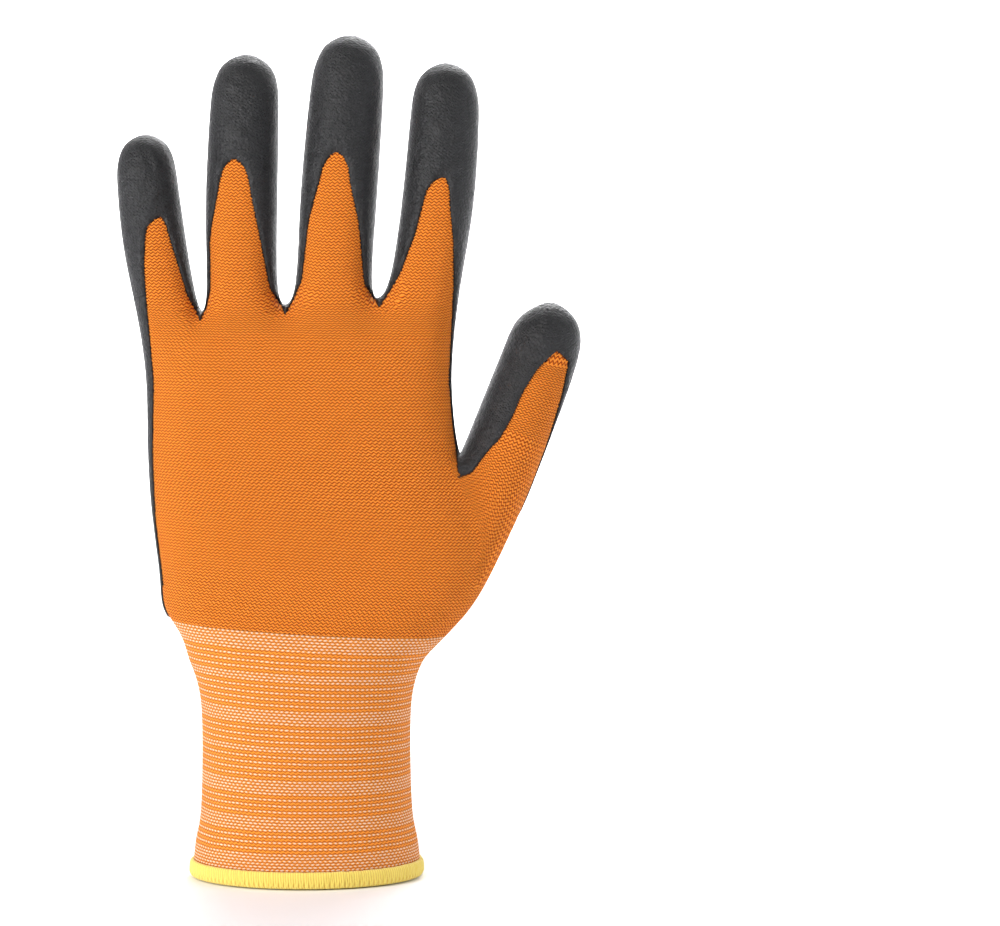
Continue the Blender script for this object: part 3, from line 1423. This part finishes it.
class Glove:
    """The whole glove, piece by piece."""

    def __init__(self, walls: WallSizes) -> None:
        """Builds every piece.

        Args:
            walls: the fabric's thicknesses.
        """
        self.walls = walls
        self.skin = Skin(HandSizes(), ThumbSizes())
        self.coat = Coat(self.skin, CoatSizes())
        self._fabric()
        build("coating", self.coat.surface(), DippedCoat().make())
        build("hem", Hem(HemSizes()).surface(), HemYarn().make())
        self._grips()

    def _fabric(self) -> None:
        """The knit hand and the wristband, cut from the skin along the first course of the hand."""
        w, h = self.walls, self.skin.hand
        skin = self.skin.surface
        top = h.cuff_height + h.slope * skin.places[:, 0]
        over = skin.places[:, 2] - top
        hand = skin.cut(over - w.seam)
        size = len(hand.places)
        shell = hand.closed(np.full(size, -w.hand), np.zeros(size))
        build("knit_hand", shell, HandKnit().make())
        skin.facts["height"] = skin.places[:, 2]
        cuff = skin.cut(-over - w.seam)
        cuff = cuff.cut(cuff.facts["height"] - w.foot)
        del skin.facts["height"], cuff.facts["height"]
        corner = cuff.places[cuff.triangles]
        first = h.cuff_height + h.slope * corner[..., 0]
        cuff.uv[..., 1] = w.rows * (first - corner[..., 2]) / (first - w.first_row)
        size = len(cuff.places)
        shell = cuff.closed(np.full(size, -w.cuff), np.zeros(size))
        build("cuff", shell, CuffKnit().make())

    def _grips(self) -> None:
        """Every field of printed bars."""
        skin = self.skin.surface
        tree = BVHTree.FromPolygons(skin.places.tolist(), skin.triangles.tolist())
        finish = GripPrint().make()
        seat = self.coat.sizes.lift + self.coat.sizes.thickness
        for grip in GripSet(self.skin, GripSizes()).fields:
            build(grip.name, grip.surface(tree, skin, seat), finish)


@dataclass(frozen=True)
class Lamp:
    """A square soft lamp: its place and size in mm, power in watts, tint, spread in degrees and aim."""

    name: str
    spot: tuple[float, float, float]
    size: float
    power: float
    tint: str
    spread: float = 180
    aim: tuple[float, float, float] = (57.6, 0, 122.8)


@dataclass(frozen=True)
class Studio:
    """The floor, lights and camera. Distances in mm; the camera looks at a point of the glove's plane."""

    target: tuple[float, float, float] = Lamp.aim
    distance: float = 1050
    pitch: float = 4.0
    across: float = 296.0
    sensor: float = 36
    far: float = 50000
    lamps: tuple[Lamp, ...] = (
        Lamp("key", (-560, -620, 700), 300, 4.4, "#fffaf4"),
        Lamp("left", (-720, -480, 230), 180, 3.8, "#f6f9ff"),
        Lamp("right", (760, -160, 420), 380, 1.7, "#f6f9ff"),
        Lamp("behind", (200, 620, 620), 400, 1.2, "#ffffff"),
        Lamp("backdrop", (100, 1100, 2300), 1500, 72.0, "#ffffff", 80, (100, 1900, 600)))
    room: str = "#fbfbfd"
    room_light: float = 0.55
    floor_half: float = 9000
    floor_gap: float = 0.4
    bend_from: float = 1300
    bend_radius: float = 600
    bend_steps: int = 24
    wall_height: float = 4200

    def make(self) -> None:
        """Builds the floor, the lamps, the room and the camera."""
        self._floor()
        for lamp in self.lamps:
            self._light(lamp)
        world = bpy.data.worlds.new("pale_room")
        bpy.context.scene.world = world
        world.use_nodes = True
        background = world.node_tree.nodes["Background"]
        background.inputs[0].default_value = linear(self.room)
        background.inputs[1].default_value = self.room_light
        bpy.context.scene.view_settings.view_transform = "Standard"
        self._camera()

    def _floor(self) -> None:
        """A pale board just under the hem, bent up behind the glove without a line."""
        section = [(-self.floor_half, -self.floor_gap)]
        for k in range(self.bend_steps + 1):
            angle = math.pi / 2 * k / self.bend_steps
            section.append((self.bend_from + self.bend_radius * math.sin(angle),
                            self.bend_radius * (1 - math.cos(angle)) - self.floor_gap))
        section.append((section[-1][0], self.wall_height))
        mesh = bpy.data.meshes.new("floor")
        ends = (-self.floor_half, self.floor_half)
        mesh.from_pydata([(x * MM, y * MM, z * MM) for y, z in section for x in ends], [],
                         [(2 * k, 2 * k + 1, 2 * k + 3, 2 * k + 2) for k in range(len(section) - 1)])
        mesh.polygons.foreach_set("use_smooth", [True] * len(mesh.polygons))
        floor = bpy.data.objects.new("floor", mesh)
        bpy.context.scene.collection.objects.link(floor)
        finish = Finish("pale_painted_board")
        spot = finish.add("TexCoord", out="Object")
        tone = finish.add("TexNoise", spot, None, 0.003 * PER_MM, 2.0, out="Fac")
        colour = finish.mix(tone, linear("#f3f3f4"), linear("#f7f7f8"))
        mesh.materials.append(finish.end(finish.add("BsdfPrincipled", colour, Roughness=0.7)))

    def _light(self, lamp: Lamp) -> None:
        """Adds one lamp."""
        data = bpy.data.lights.new(lamp.name, "AREA")
        data.size = lamp.size * MM
        data.energy = lamp.power
        data.color = linear(lamp.tint)[:3]
        data.spread = math.radians(lamp.spread)
        thing = bpy.data.objects.new(lamp.name, data)
        thing.location = Vector(lamp.spot) * MM
        aim = Vector(lamp.aim) * MM - thing.location
        thing.rotation_euler = aim.to_track_quat("-Z", "Y").to_euler()
        bpy.context.scene.collection.objects.link(thing)

    def _camera(self) -> None:
        """The camera, a little above the glove's middle."""
        data = bpy.data.cameras.new("camera")
        data.sensor_width = self.sensor
        data.lens = self.sensor * self.distance / self.across
        data.clip_end = self.far * MM
        camera = bpy.data.objects.new("camera", data)
        tilt = math.radians(self.pitch)
        away = Vector((0, -math.cos(tilt), math.sin(tilt))) * self.distance
        camera.location = (Vector(self.target) + away) * MM
        camera.rotation_euler = (-away).to_track_quat("-Z", "Y").to_euler()
        bpy.context.scene.collection.objects.link(camera)
        bpy.context.scene.camera = camera


def main() -> None:
    """Builds the glove and its setting, and notes the object's size before and after."""
    logging.basicConfig(level=logging.INFO)
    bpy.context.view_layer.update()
    Glove(WallSizes())
    Studio().make()


if __name__ == "__main__":
    main()
